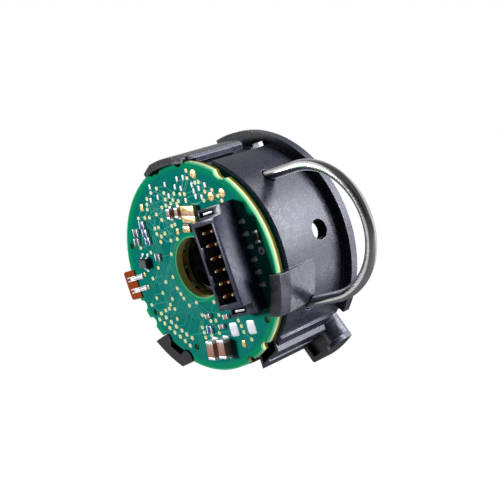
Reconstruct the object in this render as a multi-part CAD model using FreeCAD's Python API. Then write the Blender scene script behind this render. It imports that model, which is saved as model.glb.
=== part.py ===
"""Kit rotary encoder with a hollow hub, for building onto the rear shaft of a motor.

The shaft axis is Y. The motor face lies in the plane y = 0 and the circuit board faces -Y.
+X is the way the wire clip pulls out, and +Z runs along the pin header.
"""
import FreeCAD, Part
import math
import os

V = FreeCAD.Vector
CENTRE = V(0, 0, 0)
FORWARD = V(0, -1, 0)

# How far cutting shapes run past the faces they open
overcut = 1.0

# Main board
board_radius = 17.15
board_thickness = 1.4
board_hole_radius = 5.0
board_clearance = 0.1
board_standoff = 0.85
tooling_hole_radius = 0.55
tooling_hole_insets = (1.3, 2.05, 3.0, 1.55)
tooling_hole_angles = (156.2, -159.0, -117.8, -41.9)
notch_angle = 48.5
notch_radius = 1.6
notch_depth = 0.75
scallop_radius = 0.9
scallop_angles = (79.0, 98.0, -57.5, -72.5, -156.0, -167.0)

# Housing cup
wall_depth = 14.35
wall_margin = 0.2
wall_thickness = 2.05
rim_chamfer = 0.3
flange_reach = 1.7
flange_thickness = 1.42
flange_spans = ((-48.0, 99.0), (140.0, 255.0))
ledge_width = 1.1
ledge_height = 1.2

# Side hook: its two ends are parallel, so that the mould can open
hook_clearance = 0.05
hook_lip = 0.75
hook_slope_length = 6.9
seat_width = 1.65
side_hook_thickness = 1.25
side_hook_overlap = 0.75
side_hook_turn = -8.5
side_hook_angle = -24.1
side_hook_width = 6.48

# Locating key at the board's edge, with two round ears and parallel ends
key_proud = 0.3
key_reach = 1.95
key_wall = 1.85
key_ear_radius = 1.2
key_ear_inset = 0.1
key_ear_angles = (-142.3, -124.7)
key_turn = 14.0
key_angle = -134.15
key_width = 6.1
key_notch_depth = 0.95
key_clearance = 0.2
pad_angles = (120.0, 207.0, 275.0)
pad_width = 10.0

# Top hook: a long thin arm over a channel, with a bevelled head
channel_span = (61.0, 104.6)
channel_depth = 0.95
arm_gap = 1.1
arm_thickness = 0.55
arm_span = (70.2, 104.0)
arm_setback = 1.1
arm_root_setback = 3.1
arm_root_length = 1.6
arm_root_inset = 5.0
arm_rib_height = 0.75
arm_rib_span = 2.0
arm_rib_clearance = 0.3
arm_bevel = 0.45
head_span = (72.4, 105.0)
head_overlap = 0.3
head_length = 1.8
bevel_width = 2.4
bevel_depth = 0.85
taper_width = 2.8
taper_tip = 0.6
vent_length = 2.4
vent_width = 0.85
vent_rise = 0.48
vent_angle = 68.45

# Guide boss below the side hook, a hollow prism with a groove along it. Its outlines are
# heights above the wall and offsets round it.
pad_outline = ((-1.27, 3.68), (-0.45, 3.91), (-0.07, 3.91), (0.36, 2.29), (-0.7, 2.0))
boss_outline = ((-1.67, 3.25), (1.11, 2.01), (1.14, -0.51), (0.92, -0.52), (0.93, -0.86),
                (1.25, -1.0), (1.3, -3.21), (-1.94, -1.77))
boss_rear_gap = 3.0
pocket_outline = ((-0.69, 2.27), (0.63, 1.68), (0.73, -2.41), (-1.0, -1.64))
pocket_length = 9.0

# Lug behind the boss
lug_angle = -66.0
lug_reach = 4.4
lug_left = 3.5
lug_right = 3.25
lug_depth = 4.2
lug_skin = 0.8
lug_core_setback = 1.0
lug_round = 2.8
lug_corner = 0.45

# Wire clip and its groove on the hub
wire_radius = 0.88
clip_setback = 5.45
leg_spacing = 20.6
clip_standoff = 2.45
leg_end_gap = 2.25
leg_end_chamfer = 0.3
clip_hole_clearance = 0.2
groove_clearance = 0.3

# Boards inside the cup
stator_drop = 0.35
stator_thickness = 1.2
stator_clearance = 0.3
stator_hole_clearance = 0.6
spacer_width = 1.4
spacer_clearance = 0.5
air_gap = 0.6
rotor_thickness = 1.0
rotor_clearance = 1.0

# Hollow hub
shaft_bore_radius = 4.0
hub_nose_radius = 4.9
hub_nose_reach = 2.0
hub_nose_chamfer = 0.35
spigot_radius = 7.0
spigot_clearance = 0.02
sleeve_radius = 8.0
collar_thickness = 0.8
screw_radius = 1.25
screw_clearance = 0.02
screw_setback = 0.15
screw_recess = 0.3
screw_angles = (0.0, 90.0)
key_socket_radius = 0.65
key_socket_depth = 1.2
access_hole_radius = 1.65

# Pin header
header_inset = 7.2
header_width = 5.5
header_height = 4.75
header_wall = 0.55
header_end_wall = 0.75
header_floor = 1.6
pin_pitch = 2.0
pins_per_row = 6
pin_size = 0.5
pin_clearance = 0.03
pin_reach = 4.55
tail_reach = 3.5
tail_thickness = 0.3
shroud_margin = 1.95
key_rib_thickness = 0.35
key_rib_length = 1.6
key_rib_offset = 2.25
floor_window_width = 0.75
floor_window_length = 5.4
end_block_length = 1.65
end_block_height = 2.8
blade_slot_width = 0.8
blade_slot_length = 3.7
blade_thickness = 0.35
blade_length = 2.2
blade_drop = 0.1
blade_inset = 1.05

# Flexible link round the left edge of the board
flex_width = 5.0
flex_thickness = 0.2
flex_outer_reach = 2.8
flex_overlap = 1.3
flex_landing = 2.4
flex_notch_clearance = 0.3
lead_spacing = 2.05
lead_width = 0.85
lead_thickness = 0.25
lead_outer_inset = 1.75
lead_length = 3.75

# Parts on the front of the board: centre x, centre z
component_tilt = -12.0
large_capacitor_size = (1.6, 3.1, 1.6)
large_capacitor_places = ((-1.7, -13.3), (0.95, -13.4))
capacitor_size = (0.85, 1.7, 0.85)
capacitor_places = ((-1.9, 9.5), (0.05, 9.3))
small_chip_size = (1.15, 0.75, 0.5)
small_chip_places = ((-1.1, -7.9), (3.0, -8.6), (1.3, -10.0))
resistor_size = (0.95, 1.15, 0.4)
resistor_places = ((-9.9, 9.2), (-9.8, 7.8), (-9.7, 6.4), (-12.1, 8.3), (-12.6, 6.8), (-8.6, 3.4),
                   (-1.8, -10.1))
filter_size = (3.1, 2.7, 0.9)
filter_place = (2.75, 8.5)
transistor_size = (1.9, 1.7, 1.0)
transistor_place = (-12.1, 3.0)
transistor_lead = (0.4, 0.6, 0.2)
status_chip_size = (0.9, 1.9, 0.5)
status_chip_inset = 1.75
status_chip_z = 2.2

# Parts under the board: length along x, length along z and height, distance from the spacer, angle
signal_processor_size = (6.0, 6.0, 0.9)
signal_processor_inset = 4.2
signal_processor_angle = -161.0
line_driver_size = (4.0, 5.0, 0.9)
line_driver_inset = 4.5
line_driver_angle = 0.0
memory_chip_size = (3.0, 2.4, 0.9)
memory_chip_inset = 3.7
memory_chip_angle = 90.0

# Places that follow from the sizes above
rim_y = -wall_depth
board_back_y = rim_y - board_standoff
board_front_y = board_back_y - board_thickness
lip_y = board_front_y - hook_clearance
tip_y = lip_y - hook_lip
key_y = board_front_y - key_proud
wall_radius = board_radius + wall_margin
inner_radius = wall_radius - wall_thickness
flange_radius = wall_radius + flange_reach
edge_radius = board_radius + board_clearance
seat_radius = edge_radius - seat_width
channel_radius = wall_radius - channel_depth
lug_radius = wall_radius + lug_reach
ledge_radius = inner_radius - ledge_width
header_x = board_radius - header_inset

clip_y = rim_y + clip_setback
leg_z = leg_spacing / 2
bend_x = wall_radius + clip_standoff
leg_end_x = leg_end_gap - math.sqrt(inner_radius ** 2 - leg_z ** 2)

stator_front_y = rim_y + stator_drop
stator_back_y = stator_front_y + stator_thickness
stator_radius = inner_radius - stator_clearance
spacer_radius = stator_radius - spacer_clearance - spacer_width
rotor_front_y = stator_back_y + air_gap
rotor_back_y = rotor_front_y + rotor_thickness
rotor_radius = ledge_radius - rotor_clearance
groove_half_width = wire_radius + groove_clearance
groove_radius = leg_z - wire_radius - groove_clearance
collar_radius = leg_z + wire_radius
collar_rear_y = clip_y + groove_half_width + collar_thickness
screw_y = collar_rear_y + screw_setback + screw_radius
nose_y = rotor_front_y - hub_nose_reach


def polar(radius, angle, y=0.0):
    """Point at a radius and an angle (degrees from +X towards +Z) about the shaft axis."""
    turn = math.radians(angle)
    return V(radius * math.cos(turn), y, radius * math.sin(turn))


def upright(solid):
    """The solid with its faces pointing outwards."""
    return solid.reversed() if solid.Volume < 0 else solid


def swept(profile, start=0.0, end=360.0):
    """Turn an outline of (radius, y) corners about the shaft axis between two angles."""
    corners = [polar(radius, start, y) for radius, y in profile]
    face = Part.Face(Part.makePolygon(corners + corners[:1]))
    return upright(face.revolve(CENTRE, FORWARD, end - start))


def sector(inner, outer, front, rear, span):
    """Ring segment between two radii, two planes and two angles."""
    return swept([(inner, front), (outer, front), (outer, rear), (inner, rear)], *span)


def box(x, y, z):
    """Box between pairs of limits."""
    return Part.makeBox(x[1] - x[0], y[1] - y[0], z[1] - z[0], V(x[0], y[0], z[0]))


def on_board(x, z, height):
    """Box standing on the front of the main board, between limits of x, z and height."""
    return box(x, (board_front_y - height[1], board_front_y - height[0]), z)


def round_bar(centre, axis, radius, length):
    """Cylinder from a point along an axis."""
    return Part.makeCylinder(radius, length, centre, axis)


def turned(shape, angle, x=0.0, z=0.0):
    """The shape turned about an axis parallel to the shaft, from +X towards +Z."""
    copy = shape.copy()
    copy.rotate(V(x, 0, z), FORWARD, angle)
    return copy


def around(value, width):
    """Limits of a width centred on a value."""
    return (value - width / 2, value + width / 2)


def save(name, solids):
    """Write one node; several solids go in as a group."""
    shape = solids if isinstance(solids, Part.Shape) else Part.makeCompound(solids)
    shape.exportStep("parts/" + name + ".step")


def prism(outline, front, rear):
    """Straight bar along the shaft axis with an outline of (x, z) corners."""
    corners = [V(x, front, z) for x, z in outline]
    return upright(Part.Face(Part.makePolygon(corners + corners[:1])).extrude(V(0, rear - front, 0)))


def between_ends(shape, angle, width, turn):
    """The part of a shape between two parallel planes, a width apart round an angle of the board's edge."""
    middle = board_radius * math.sin(math.radians(angle - turn))
    slab = box((-lug_radius, lug_radius), (tip_y - overcut, 0), around(middle, width))
    return shape.common(turned(slab, turn))


def leaning_arm(inner, outer, tip):
    """Outline of a moulded arm that leans out of the wall and stands up beside the board."""
    root_y = rim_y + hook_slope_length - board_standoff
    inside = (inner_radius + wall_radius) / 2
    return [(inside, root_y), (wall_radius, root_y), (outer, board_back_y), (outer, tip), (inner, tip)]


def side_hook():
    """Snap hook that carries the board on a seat and grips its edge."""
    outer = edge_radius + side_hook_thickness
    lip = board_radius - side_hook_overlap
    outline = leaning_arm(lip, outer, tip_y)
    outline += [(lip, lip_y), (edge_radius, lip_y), (edge_radius, board_back_y), (seat_radius, board_back_y)]
    outline += [(seat_radius, rim_y + rim_chamfer), (outline[0][0], rim_y + rim_chamfer)]
    return between_ends(swept(outline, -90.0, 90.0), side_hook_angle, side_hook_width, side_hook_turn)


def key_ears(clearance):
    """Round ends of the locating key, or with a clearance the holes they take in the board."""
    centre_radius = board_radius - key_ear_inset
    radius = key_ear_radius + clearance
    foot_y = rim_y + rim_chamfer
    return [round_bar(polar(centre_radius, angle, foot_y), FORWARD, radius, foot_y - key_y)
            for angle in key_ear_angles]


def locating_key():
    """Arm with two ears that stand in a notch of the board and stop it from turning."""
    outer = board_radius + key_reach
    inner = outer - key_wall
    outline = leaning_arm(inner, outer, key_y)
    outline += [(inner, rim_y + rim_chamfer), (outline[0][0], rim_y + rim_chamfer)]
    arm = swept(outline, -180.0, -90.0).fuse(key_ears(0.0))
    return between_ends(arm, key_angle, key_width, key_turn)


def key_notch():
    """Notch of the board round the locating key."""
    middle = sector(board_radius - key_notch_depth, lug_radius, key_y, rim_y, key_ear_angles)
    arms = [sector(board_radius - key_ear_inset, lug_radius, key_y, rim_y, span)
            for span in ((-180.0, key_ear_angles[0]), (key_ear_angles[1], -90.0))]
    width = key_width + 2 * key_clearance
    return between_ends(middle.fuse(arms + key_ears(key_clearance)), key_angle, width, key_turn)


def top_hook():
    """Long ribbed arm over the channel, joined to the wall near its rear end."""
    arm_inside = channel_radius + arm_gap
    arm_outside = arm_inside + arm_thickness
    root_y = -flange_thickness - arm_root_setback
    lip = board_radius - head_overlap
    arm = sector(arm_inside, arm_outside, tip_y + arm_setback, root_y, arm_span)
    rib_inside = arm_inside - arm_rib_height
    rib_front = board_back_y + arm_rib_clearance
    rib_spans = [(arm_span[0], arm_span[0] + arm_rib_span), (arm_span[1] - arm_rib_span, arm_span[1])]
    ribs = [sector(rib_inside, arm_outside, rib_front, root_y, span) for span in rib_spans]
    arm = arm.fuse(ribs).cut(arm_edge(arm_outside, root_y))
    head = swept([
        (arm_inside, tip_y + head_length),
        (arm_outside, tip_y + head_length),
        (arm_outside, tip_y),
        (lip, tip_y),
        (lip, lip_y),
        (arm_inside, lip_y),
    ], *head_span).cut([head_bevel(lip, arm_outside), head_taper(lip, arm_outside)])
    root_span = (arm_span[0] + arm_root_inset, arm_span[1])
    root = sector(channel_radius - arm_gap / 2, arm_outside, root_y - arm_root_length, root_y, root_span)
    seat = sector(seat_radius, channel_radius, board_back_y, rim_y + rim_chamfer, head_span)
    return [arm.fuse([head, root]), seat]


def arm_edge(outer, rear):
    """Wedge that bevels the clockwise edge of the top hook's arm."""
    far = outer + overcut
    low = outer - arm_bevel
    corners = [(low, -overcut), (low, 0), (outer, arm_bevel), (far, arm_bevel), (far, -overcut)]
    return turned(prism(corners, tip_y + head_length, rear), arm_span[0])


def head_bevel(inner, outer):
    """Wedge that bevels the clockwise end of the top hook's head."""
    low = tip_y - overcut
    rear = tip_y + bevel_depth
    corners = [(low, -overcut), (low, bevel_width), (tip_y, bevel_width), (rear, 0), (rear, -overcut)]
    outline = [V(inner - arm_gap, y, z) for y, z in corners]
    wedge = Part.Face(Part.makePolygon(outline + outline[:1])).extrude(V(outer - inner + 2 * arm_gap, 0, 0))
    return turned(upright(wedge), head_span[0])


def head_taper(inner, outer):
    """Wedge that draws the other end of the top hook's head to a point."""
    far = outer + overcut
    tip = inner + taper_tip
    corners = [(outer, -taper_width), (far, -taper_width), (far, overcut), (tip, overcut), (tip, 0)]
    return turned(prism(corners, tip_y - overcut, tip_y + head_length), head_span[1])


def on_wall(outline, front, rear):
    """Straight bar on the wall at the lug's angle, with an outline of (height, offset) corners."""
    corners = [(wall_radius + height, offset) for height, offset in outline]
    return turned(prism(corners, front, rear), lug_angle)


def guide_boss():
    """Hollow prism along the wall, and the blind pocket in it that opens to the front."""
    boss = on_wall(boss_outline, rim_y, -boss_rear_gap)
    pad = on_wall(pad_outline, rim_y + rim_chamfer, -flange_thickness)
    pocket = on_wall(pocket_outline, rim_y - overcut, rim_y + pocket_length)
    bore = round_bar(CENTRE, FORWARD, (inner_radius + wall_radius) / 2, wall_depth)
    return boss.fuse(pad).cut(bore), pocket.cut(bore)


def lug():
    """Stepped lug behind the boss: a rounded core and outer plate beside a straight rib."""
    inside = wall_radius - wall_thickness / 2
    width = (-lug_left, lug_right)
    rib = box((inside, lug_radius), (-lug_depth, 0), (-lug_left, lug_skin - lug_left))
    hollow = round_bar(CENTRE, FORWARD, lug_radius - lug_skin, lug_depth)
    plate = box((inside, lug_radius), (-lug_depth, 0), width)
    plate_edges = [edge for edge in plate.Edges if is_at(edge, -lug_depth, lug_right)]
    plate = plate.makeFillet(lug_round, plate_edges).cut(hollow)
    core = box((inside, lug_radius - lug_skin / 2), (lug_core_setback - lug_depth, 0), width)
    front = lug_core_setback - lug_depth
    core = core.makeFillet(lug_round, [edge for edge in core.Edges if is_at(edge, front, lug_right)])
    shape = core.fuse([rib, plate]).common(round_bar(CENTRE, FORWARD, lug_radius, lug_depth)).removeSplitter()
    upright_edges = [edge for edge in shape.Edges if is_at(edge, -lug_depth / 2, -lug_left)]
    corner = max(upright_edges, key=lambda edge: edge.CenterOfMass.x)
    return turned(shape.makeFillet(lug_corner, [corner]), lug_angle)


def is_at(edge, y, z):
    """Whether an edge has its middle at a place along Y and Z."""
    middle = edge.CenterOfMass
    return abs(middle.y - y) < 1e-4 and abs(middle.z - z) < 1e-4


def clip_holes():
    """Round holes through the wall for the clip's legs."""
    along = V(1, 0, 0)
    hole_radius = wire_radius + clip_hole_clearance
    return [round_bar(V(0, clip_y, z), along, hole_radius, flange_radius) for z in (-leg_z, leg_z)]


def housing():
    """Moulded cup: wall, inner ledge, flange, hooks, key, boss, lug and openings."""
    ledge_top = stator_back_y
    ledge_foot = ledge_top + ledge_height
    body = swept([
        (inner_radius, 0),
        (inner_radius, ledge_foot + ledge_width),
        (ledge_radius, ledge_foot),
        (ledge_radius, ledge_top),
        (inner_radius, ledge_top),
        (inner_radius, rim_y),
        (wall_radius - rim_chamfer, rim_y),
        (wall_radius, rim_y + rim_chamfer),
        (wall_radius, 0),
    ])
    flanges = [sector(wall_radius - rim_chamfer, flange_radius, -flange_thickness, 0, span)
               for span in flange_spans]
    boss, pocket = guide_boss()
    channel = sector(channel_radius, flange_radius, rim_y - overcut, -flange_thickness, channel_span)
    pads = [sector(seat_radius, edge_radius, board_back_y, rim_y + rim_chamfer, around(angle, pad_width))
            for angle in pad_angles]
    body = body.fuse(flanges + [boss]).cut(channel)
    body = body.fuse([side_hook(), locating_key(), lug()] + top_hook() + pads)
    vent_at = polar(channel_radius + vent_rise, vent_angle)
    vent = box(around(vent_at.x, vent_length), (-flange_thickness - overcut, overcut),
               around(vent_at.z, vent_width))
    flex_window = box((-flange_radius, -ledge_radius), (rim_y - overcut, stator_front_y + flex_thickness),
                      around(0, flex_width + 2 * flex_notch_clearance))
    access = round_bar(V(0, screw_y, 0), V(1, 0, 0), access_hole_radius, flange_radius)
    return body.cut([vent, flex_window, access, pocket] + clip_holes())


def main_board():
    """Round board with its centre hole, tooling holes, edge notches and the opening for the key."""
    disc = round_bar(V(0, board_back_y, 0), FORWARD, board_radius, board_thickness)
    start = V(0, board_back_y + overcut, 0)
    through = board_thickness + 2 * overcut
    notch_centre = board_radius - notch_depth + notch_radius
    cuts = [round_bar(start, FORWARD, board_hole_radius, through),
            round_bar(start + polar(notch_centre, notch_angle), FORWARD, notch_radius, through), key_notch()]
    for inset, angle in zip(tooling_hole_insets, tooling_hole_angles):
        centre = start + polar(board_radius - inset, angle)
        cuts.append(round_bar(centre, FORWARD, tooling_hole_radius, through))
    for angle in scallop_angles:
        cuts.append(round_bar(start + polar(board_radius, angle), FORWARD, scallop_radius, through))
    return disc.cut(cuts)


def pin_places():
    """Side (-1 or 1) and z of each header pin."""
    first = -pin_pitch * (pins_per_row - 1) / 2
    return [(side, first + pin_pitch * row) for side in (-1, 1) for row in range(pins_per_row)]


def header_pin(side, z, slack=0.0):
    """Square contact pin with a solder tail, or with slack the room it takes in the shroud."""
    half = pin_size / 2 + slack
    x = header_x + side * pin_pitch / 2
    post = on_board((x - half, x + half), (z - half, z + half), (0, pin_reach))
    tail_x = sorted((x, header_x + side * tail_reach))
    tail = on_board(tail_x, (z - half, z + half), (0, tail_thickness + slack))
    return post.fuse(tail)


def header_shroud():
    """Open box round the pins with keying ribs, a window in its floor and slotted end blocks."""
    half_width = header_width / 2
    half_length = pin_pitch * (pins_per_row - 1) / 2 + shroud_margin
    left = header_x - half_width
    right = header_x + half_width
    body = on_board((left, right), (-half_length, half_length), (0, header_height))
    blocks = on_board((left, right), around(0, 2 * (half_length + end_block_length)), (0, end_block_height))
    wall_x = left + header_wall
    cavity = on_board((wall_x, right - header_wall), around(0, 2 * (half_length - header_end_wall)),
                      (header_floor, header_height + overcut))
    ribs = [on_board((left, wall_x + key_rib_thickness), around(z, key_rib_length), (0, header_height))
            for z in (-key_rib_offset, key_rib_offset)]
    window = on_board((wall_x, wall_x + floor_window_width), around(0, floor_window_length),
                      (0, header_floor))
    slots = [on_board((left, left + blade_slot_length), around(z, blade_slot_width),
                      (0, end_block_height + overcut))
             for z in blade_centres()]
    shell = body.fuse(blocks).cut([cavity, window] + slots).fuse(ribs)
    return shell.cut([header_pin(side, z, pin_clearance) for side, z in pin_places()])


def blade_centres():
    """Z of the two hold-down blades."""
    reach = pin_pitch * (pins_per_row - 1) / 2 + shroud_margin + end_block_length / 2
    return (-reach, reach)


def hold_down(z):
    """Blade that stands in the slot of an end block."""
    left = header_x - header_width / 2 + blade_inset
    top = end_block_height - blade_drop
    return on_board((left, left + blade_length), around(z, blade_thickness), (0, top))


def flex_link():
    """Strip that lies on the board's edge, bends round it and lands on the board inside the cup."""
    outer_y = board_front_y - flex_thickness
    bend = (stator_front_y - outer_y) / 2
    mid_y = (stator_front_y + outer_y) / 2
    far_x = -(board_radius + flex_outer_reach)
    bend_x_left = far_x + bend
    top_x = -(board_radius - flex_overlap)
    bottom_x = -(stator_radius - flex_landing)
    side = -flex_width / 2
    thin = bend - flex_thickness

    def arc(radius):
        return Part.Arc(V(bend_x_left, mid_y - radius, side), V(bend_x_left - radius, mid_y, side),
                        V(bend_x_left, mid_y + radius, side)).toShape()

    def line(x0, y0, x1, y1):
        return Part.makeLine(V(x0, y0, side), V(x1, y1, side))

    inner_top = mid_y - thin
    inner_bottom = mid_y + thin
    edges = [
        line(top_x, outer_y, bend_x_left, outer_y), arc(bend),
        line(bend_x_left, stator_front_y, bottom_x, stator_front_y),
        line(bottom_x, stator_front_y, bottom_x, inner_bottom),
        line(bottom_x, inner_bottom, bend_x_left, inner_bottom), arc(thin),
        line(bend_x_left, inner_top, top_x, inner_top), line(top_x, inner_top, top_x, outer_y),
    ]
    outline = Part.Wire(Part.__sortEdges__(edges))
    return upright(Part.Face(outline).extrude(V(0, 0, flex_width)))


def flex_lead(z):
    """Tinned lead that lies on the link and steps down to its pad on the board."""
    outer_x = -(board_radius + flex_outer_reach - lead_outer_inset)
    inner_x = outer_x + lead_length
    step_x = -(board_radius - flex_overlap)
    width = around(z, lead_width)
    top = flex_thickness + lead_thickness
    upper = on_board((outer_x, step_x + lead_thickness), width, (flex_thickness, top))
    lower = on_board((step_x, inner_x), width, (0, lead_thickness))
    riser = on_board((step_x, step_x + lead_thickness), width, (0, top))
    return upper.fuse([lower, riser])


def chip(place, size, tilt=0.0):
    """Rectangular part soldered on the front of the board."""
    x, z = place
    body = on_board(around(x, size[0]), around(z, size[1]), (0, size[2]))
    return turned(body, tilt, x, z)


def transistor():
    """Moulded body with chamfered top edges and three leads, standing just off the board."""
    x, z = transistor_place
    width, length, height = transistor_size
    lead_width_x, lead_out, lead_height = transistor_lead
    body = on_board(around(x, width), around(z, length), (lead_height / 2, height))
    top = [edge for edge in body.Edges if abs(edge.CenterOfMass.y - (board_front_y - height)) < 1e-6]
    body = body.makeChamfer(lead_height, top)
    upper = length / 2 + lead_out
    places = ((x - width / 3, z, z + upper), (x + width / 3, z, z + upper), (x, z - upper, z))
    leads = [on_board(around(lead_x, lead_width_x), (low, high), (0, lead_height))
             for lead_x, low, high in places]
    return turned(body.fuse(leads), component_tilt, x, z)


def chip_below(size, inset, angle):
    """Flat moulded chip under the main board."""
    centre = polar(spacer_radius - inset, angle)
    depth = (board_back_y, board_back_y + size[2])
    return box(around(centre.x, size[0]), depth, around(centre.z, size[1]))


def stator_board():
    """Sensing board that lies on the ledge inside the cup."""
    disc = round_bar(V(0, stator_back_y, 0), FORWARD, stator_radius, stator_thickness)
    hole = round_bar(V(0, stator_back_y + overcut, 0), FORWARD, hub_nose_radius + stator_hole_clearance,
                     stator_thickness + 2 * overcut)
    return disc.cut(hole)


def board_spacer():
    """Open ring between the two fixed boards, with a gap for the flexible link."""
    gap = math.degrees(math.asin((flex_width / 2 + flex_notch_clearance) / spacer_radius))
    span = (180 + gap, 540 - gap)
    return sector(spacer_radius, spacer_radius + spacer_width, board_back_y, stator_front_y, span)


def rotor_board():
    """Printed code disc on the hub's spigot."""
    return swept([
        (spigot_radius + spigot_clearance, rotor_front_y),
        (rotor_radius, rotor_front_y),
        (rotor_radius, rotor_back_y),
        (spigot_radius + spigot_clearance, rotor_back_y),
    ])


def screw_hole(angle):
    """Radial hole for a grub screw, from the bore out through the sleeve."""
    start = V(shaft_bore_radius / 2, screw_y, 0)
    return turned(round_bar(start, V(1, 0, 0), screw_radius, sleeve_radius), angle)


def rotor_hub():
    """Turned hub: nose, spigot, grooved collar for the clip, and sleeve with grub screw holes."""
    hub = swept([
        (shaft_bore_radius, 0),
        (sleeve_radius, 0),
        (sleeve_radius, collar_rear_y),
        (collar_radius, collar_rear_y),
        (collar_radius, clip_y + groove_half_width),
        (groove_radius, clip_y + groove_half_width),
        (groove_radius, clip_y - groove_half_width),
        (collar_radius, clip_y - groove_half_width),
        (collar_radius, rotor_back_y),
        (spigot_radius, rotor_back_y),
        (spigot_radius, rotor_front_y),
        (hub_nose_radius, rotor_front_y),
        (hub_nose_radius, nose_y + hub_nose_chamfer),
        (hub_nose_radius - hub_nose_chamfer, nose_y),
        (shaft_bore_radius, nose_y),
    ])
    return hub.cut([screw_hole(angle) for angle in screw_angles])


def set_screw(angle):
    """Grub screw with a hexagon socket, lying below the sleeve's surface and outside the bore."""
    length = sleeve_radius - shaft_bore_radius - 2 * screw_recess
    outer_x = sleeve_radius - screw_recess
    bar = round_bar(V(outer_x - length, screw_y, 0), V(1, 0, 0), screw_radius - screw_clearance, length)
    corners = []
    for step in range(7):
        turn = math.radians(60 * step)
        corners.append(V(outer_x + overcut, screw_y + key_socket_radius * math.sin(turn),
                         key_socket_radius * math.cos(turn)))
    socket = upright(Part.Face(Part.makePolygon(corners)).extrude(V(-overcut - key_socket_depth, 0, 0)))
    return turned(bar.cut(socket), angle)


def wire_clip():
    """Round wire bent to a U, with chamfered leg ends."""
    tip = leg_end_chamfer
    start = V(leg_end_x + tip, clip_y, leg_z)
    finish = V(leg_end_x + tip, clip_y, -leg_z)
    upper = V(bend_x, clip_y, leg_z)
    lower = V(bend_x, clip_y, -leg_z)
    bend = Part.Arc(upper, V(bend_x + leg_z, clip_y, 0), lower).toShape()
    path = Part.Wire([Part.makeLine(start, upper), bend, Part.makeLine(lower, finish)])
    section = Part.Wire(Part.makeCircle(wire_radius, start, V(1, 0, 0)))
    wire = upright(path.makePipeShell([section], True, True))
    ends = [Part.makeCone(wire_radius - tip, wire_radius, tip, point - V(tip, 0, 0), V(1, 0, 0))
            for point in (start, finish)]
    return wire.fuse(ends)


os.makedirs("parts", exist_ok=True)

save("housing", housing())
save("main_board", main_board())
save("header_shroud", header_shroud())
save("header_pins", [header_pin(side, z) for side, z in pin_places()])
save("header_hold_downs", [hold_down(z) for z in blade_centres()])
save("flex_link", flex_link())
save("flex_leads", [flex_lead(z) for z in around(0, lead_spacing)])
save("large_capacitors", [chip(place, large_capacitor_size, component_tilt)
                          for place in large_capacitor_places])
save("ceramic_capacitors", [chip(place, capacitor_size, component_tilt) for place in capacitor_places])
save("small_chips", [chip(place, small_chip_size) for place in small_chip_places])
save("chip_resistors", [chip(place, resistor_size) for place in resistor_places])
save("ceramic_filter", chip(filter_place, filter_size, component_tilt))
save("transistor", transistor())
save("status_chip", chip((board_radius - status_chip_inset, status_chip_z), status_chip_size))
save("signal_processor", chip_below(signal_processor_size, signal_processor_inset, signal_processor_angle))
save("line_driver", chip_below(line_driver_size, line_driver_inset, line_driver_angle))
save("memory_chip", chip_below(memory_chip_size, memory_chip_inset, memory_chip_angle))
save("stator_board", stator_board())
save("board_spacer", board_spacer())
save("rotor_board", rotor_board())
save("rotor_hub", rotor_hub())
save("hub_set_screws", [set_screw(angle) for angle in screw_angles])
save("wire_clip", wire_clip())
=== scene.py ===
"""Looks of a kit rotary encoder with a hollow hub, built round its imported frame.

Lengths in the mesh code are millimetres. The shaft axis is Y and the circuit board faces -Y.
"""
import math
import random

import bmesh
import bpy
from bpy.props import FloatProperty, FloatVectorProperty, IntProperty, PointerProperty
from mathutils import Matrix, Quaternion, Vector


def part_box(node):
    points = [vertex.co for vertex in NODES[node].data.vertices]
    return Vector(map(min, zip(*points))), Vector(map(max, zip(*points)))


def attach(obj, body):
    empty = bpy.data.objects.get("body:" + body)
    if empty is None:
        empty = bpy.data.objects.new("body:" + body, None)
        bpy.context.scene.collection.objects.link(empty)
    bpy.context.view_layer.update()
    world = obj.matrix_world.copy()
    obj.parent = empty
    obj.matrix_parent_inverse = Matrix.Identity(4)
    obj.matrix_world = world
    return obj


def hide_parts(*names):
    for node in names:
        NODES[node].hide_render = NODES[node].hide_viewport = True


bl_info = {
    "name": "Hollow shaft encoder",
    "version": (1, 0, 0),
    "blender": (4, 5, 0),
    "location": "3D View > Sidebar > Encoder",
    "description": "Builds the visible pieces and finishes of a kit rotary encoder",
    "category": "Object",
}

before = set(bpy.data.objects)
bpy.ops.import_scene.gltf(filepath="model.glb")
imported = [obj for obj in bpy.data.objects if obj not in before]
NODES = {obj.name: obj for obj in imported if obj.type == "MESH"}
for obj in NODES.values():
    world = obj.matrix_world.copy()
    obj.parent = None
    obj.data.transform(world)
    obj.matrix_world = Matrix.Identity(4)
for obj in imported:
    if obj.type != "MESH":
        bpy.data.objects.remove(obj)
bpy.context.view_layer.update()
MM = 0.001
BOARD_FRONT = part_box("main_board")[0].y / MM
BOARD_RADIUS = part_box("main_board")[1].z / MM
COMPONENT_TILT = -12.0
PIN_PITCH = 2.0
PINS_PER_ROW = 6

# Height at which pads and rings start, a little below the face that carries them
SUNK = -0.02

# The photograph's camera: place in millimetres, its axes, and its focal length in pixels of a 500 x 500 image
EYE = Vector((135.306, -130.279, 8.672))
RIGHT = Vector((0.65720, 0.68550, -0.31334))
UP = Vector((0.17950, 0.26142, 0.94839))
AHEAD = Vector((-0.73203, 0.67952, -0.04876))
FOCAL = 1112.6
IMAGE = 500.0

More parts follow.
